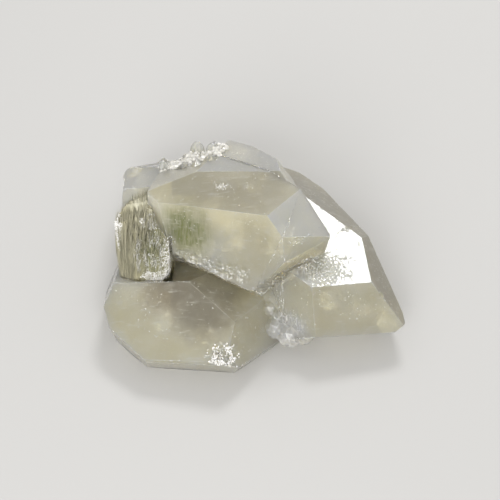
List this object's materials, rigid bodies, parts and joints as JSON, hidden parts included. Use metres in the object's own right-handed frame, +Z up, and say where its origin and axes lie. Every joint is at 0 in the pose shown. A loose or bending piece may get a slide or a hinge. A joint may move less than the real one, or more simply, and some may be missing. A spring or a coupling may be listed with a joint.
{
  "type": "quartz crystal cluster with byssolite",
  "caption": "Cluster of intergrown quartz crystals with flat faces and a mat of green byssolite fibres on one end, resting on its flat broken base.",
  "frame": {"origin": "centre of the whole box, on the flat broken base", "axes": "+X toward the pointed right crystal, along the longest side; +Y from the lower crystal to the raised back shoulder; +Z up from the base"},
  "size_m": [0.0622, 0.0502, 0.0287],
  "materials": {
    "quartz": "milky grey-green quartz, glossy on flat faces, frosted where pitted",
    "byssolite": "matted olive-green amphibole fibres, matt with fine bright hairs"
  },
  "bodies": {
    "root": {"quartz_cluster": "quartz", "byssolite_mat": "byssolite"}
  },
  "joints": []
}
